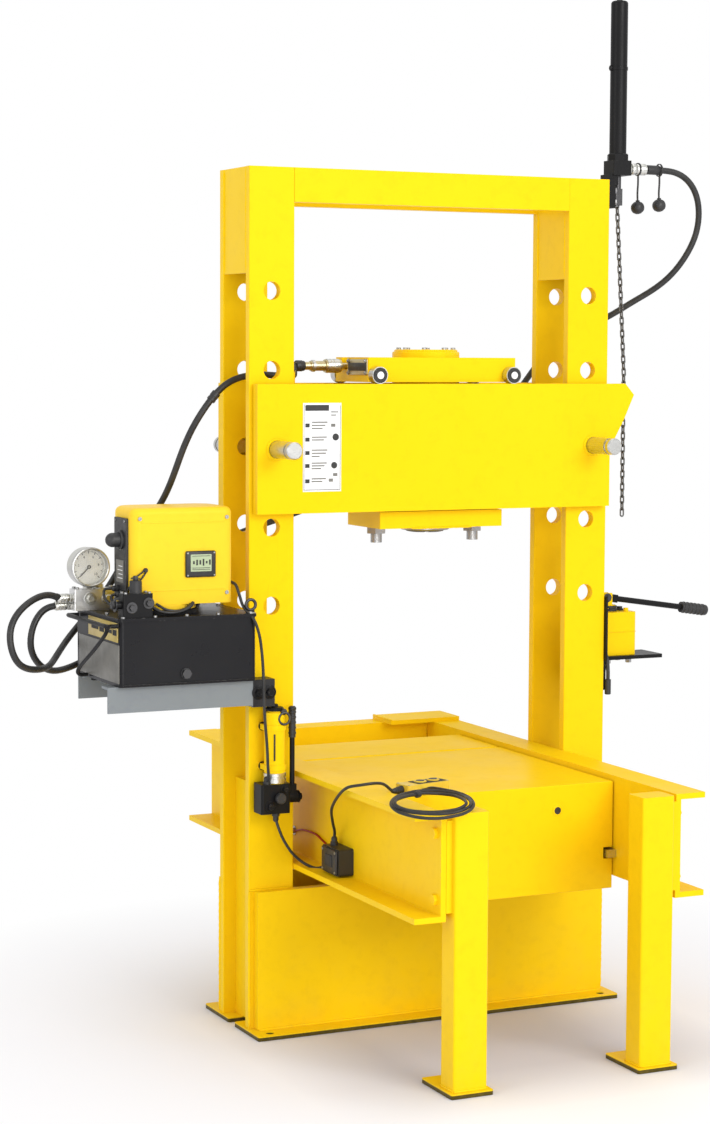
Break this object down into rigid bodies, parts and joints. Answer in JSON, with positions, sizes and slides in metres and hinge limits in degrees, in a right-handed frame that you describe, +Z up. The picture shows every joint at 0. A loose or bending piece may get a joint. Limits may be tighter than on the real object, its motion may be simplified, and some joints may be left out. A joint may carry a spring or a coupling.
{
  "type": "hydraulic shop press",
  "caption": "Pinned H-frame hydraulic shop press with adjustable crosshead, traversing cylinder, roll-out bed, electric pump, lift cylinder with chain and lever pumps.",
  "frame": {"origin": "floor level at the centre of the H-frame's footprint, which is the centre of its four anchor holes", "axes": "+Z up, -Y is the operator's side where the bed rolls out, +X is to the operator's right; the electric pump is on -X"},
  "size_m": [2.0541, 1.468, 2.697],
  "materials": {
    "yellow_paint": "gloss",
    "black_paint": "satin",
    "grey_paint": "satin",
    "steel": "machined",
    "hard_chrome": "ground",
    "chain_steel": "oiled",
    "aluminium_block": "machined",
    "hose_rubber": "matt",
    "yellow_plastic": "gloss",
    "black_plastic": "fine texture"
  },
  "bodies": {
    "press_frame": {"upright_front_left": "yellow_paint", "upright_front_right": "yellow_paint", "upright_rear_left": "yellow_paint", "upright_rear_right": "yellow_paint", "upright_spacers": "yellow_paint", "head_beams": "yellow_paint", "base_plates": "yellow_paint", "floor_plates": "yellow_paint", "rail_left": "yellow_paint", "rail_right": "yellow_paint", "rear_tie_beam": "yellow_paint", "front_legs": "yellow_paint", "leg_packing_and_bolts": "yellow_paint", "roller_tracks": "steel", "lift_cylinder_bracket": "black_paint", "lift_cylinder_tube": "black_paint", "right_pump_bracket": "black_paint", "right_pump_body": "yellow_paint", "left_pump_body": "yellow_paint", "left_pump_head": "black_paint", "pump_bracket": "grey_paint", "oil_tank": "black_paint", "tank_lid": "black_paint", "tank_fittings": "steel", "motor_shroud": "yellow_plastic", "pump_motor": "black_paint", "shroud_panels": "black_plastic", "valve_manifolds": "aluminium_block", "gauge_case": "steel", "hose_cylinder": "hose_rubber", "hose_lift": "hose_rubber", "junction_box": "black_plastic"},
    "bed": {"bed_front_beam": "yellow_paint", "bed_frame": "yellow_paint", "pendant_case": "yellow_plastic"},
    "bed_wheels_front": {"bed_wheelset_front": "steel"},
    "bed_wheels_rear": {"bed_wheelset_rear": "steel"},
    "pendant_up": {"pendant_button_up": "black_plastic"},
    "pendant_down": {"pendant_button_down": "black_plastic"},
    "crosshead": {"crosshead_front_plate": "yellow_paint", "crosshead_rear_plate": "yellow_paint", "crosshead_spacers": "yellow_paint"},
    "lock_pin_fl": {"pin_front_left": "steel"},
    "lock_pin_fr": {"pin_front_right": "steel"},
    "lock_pin_rl": {"pin_rear_left": "steel"},
    "lock_pin_rr": {"pin_rear_right": "steel"},
    "carriage": {"carriage_top_block": "yellow_paint", "carriage_bottom_block": "yellow_paint", "carriage_tie_rods": "steel", "cylinder_body": "yellow_paint", "cylinder_coupling": "steel"},
    "carriage_wheels_left": {"carriage_wheelset_left": "steel"},
    "carriage_wheels_right": {"carriage_wheelset_right": "steel"},
    "ram_body": {"ram": "hard_chrome", "ram_saddle": "steel"},
    "lift_gear": {"lift_rod": "steel", "lift_chain": "chain_steel"},
    "needle": {"gauge_needle": "black_plastic"},
    "right_lever": {"right_pump_lever": "black_paint"},
    "left_lever": {"left_pump_lever": "black_paint"}
  },
  "joints": [
    {"name": "crosshead_lift", "type": "slide", "parent": "press_frame", "child": "crosshead", "axis": [0, 0, 1], "range_m": [-0.4, 0.2]},
    {"name": "carriage_traverse", "type": "slide", "parent": "crosshead", "child": "carriage", "axis": [1, 0, 0], "range_m": [-0.15, 0.15]},
    {"name": "ram_stroke", "type": "slide", "parent": "carriage", "child": "ram_body", "axis": [0, 0, -1], "range_m": [0, 0.168]},
    {"name": "pin_front_left_push", "type": "slide", "parent": "crosshead", "child": "lock_pin_fl", "axis": [0, 1, 0], "range_m": [0, 0.065]},
    {"name": "pin_front_right_push", "type": "slide", "parent": "crosshead", "child": "lock_pin_fr", "axis": [0, 1, 0], "range_m": [0, 0.065]},
    {"name": "pin_rear_left_push", "type": "slide", "parent": "crosshead", "child": "lock_pin_rl", "axis": [0, -1, 0], "range_m": [0, 0.065]},
    {"name": "pin_rear_right_push", "type": "slide", "parent": "crosshead", "child": "lock_pin_rr", "axis": [0, -1, 0], "range_m": [0, 0.065]},
    {"name": "bed_roll", "type": "slide", "parent": "press_frame", "child": "bed", "axis": [0, -1, 0], "range_m": [0, 0.2]},
    {"name": "lift_stroke", "type": "slide", "parent": "press_frame", "child": "lift_gear", "axis": [0, 0, -1], "range_m": [0, 0.2]},
    {"name": "bed_wheels_front_spin", "type": "hinge", "parent": "bed", "child": "bed_wheels_front", "pos_m": [0, -0.38, 0.51505], "axis": [1, 0, 0], "range_deg": [-1, 459]},
    {"name": "bed_wheels_rear_spin", "type": "hinge", "parent": "bed", "child": "bed_wheels_rear", "pos_m": [0, 0.25, 0.51505], "axis": [1, 0, 0], "range_deg": [-1, 459]},
    {"name": "carriage_wheels_left_spin", "type": "hinge", "parent": "carriage", "child": "carriage_wheels_left", "pos_m": [-0.172, 0, 1.69305], "axis": [0, 1, 0], "range_deg": [-391, 391]},
    {"name": "carriage_wheels_right_spin", "type": "hinge", "parent": "carriage", "child": "carriage_wheels_right", "pos_m": [0.22, 0, 1.69305], "axis": [0, 1, 0], "range_deg": [-391, 391]},
    {"name": "pendant_up_press", "type": "slide", "parent": "bed", "child": "pendant_up", "axis": [0, 0, -1], "range_m": [0, 0.002], "stiffness_N_per_m": 400, "springref_m": -0.001},
    {"name": "pendant_down_press", "type": "slide", "parent": "bed", "child": "pendant_down", "axis": [0, 0, -1], "range_m": [0, 0.002], "stiffness_N_per_m": 400, "springref_m": -0.001},
    {"name": "gauge_needle_turn", "type": "hinge", "parent": "press_frame", "child": "needle", "pos_m": [-0.893, 0.083, 1.206], "axis": [0, 1, 0], "range_deg": [0, 270]},
    {"name": "right_lever_pump", "type": "hinge", "parent": "press_frame", "child": "right_lever", "pos_m": [0.582, 0, 1.08], "axis": [0, -1, 0], "range_deg": [0, 50]},
    {"name": "left_lever_pump", "type": "hinge", "parent": "press_frame", "child": "left_lever", "pos_m": [-0.419, -0.134, 0.616], "axis": [1, 0, 0], "range_deg": [0, 60]}
  ],
  "couplings": [
    {"joint": "bed_wheels_front_spin", "follows": "bed_roll", "rad_per_m": 40},
    {"joint": "bed_wheels_rear_spin", "follows": "bed_roll", "rad_per_m": 40},
    {"joint": "carriage_wheels_left_spin", "follows": "carriage_traverse", "rad_per_m": 45.455},
    {"joint": "carriage_wheels_right_spin", "follows": "carriage_traverse", "rad_per_m": 45.455}
  ]
}
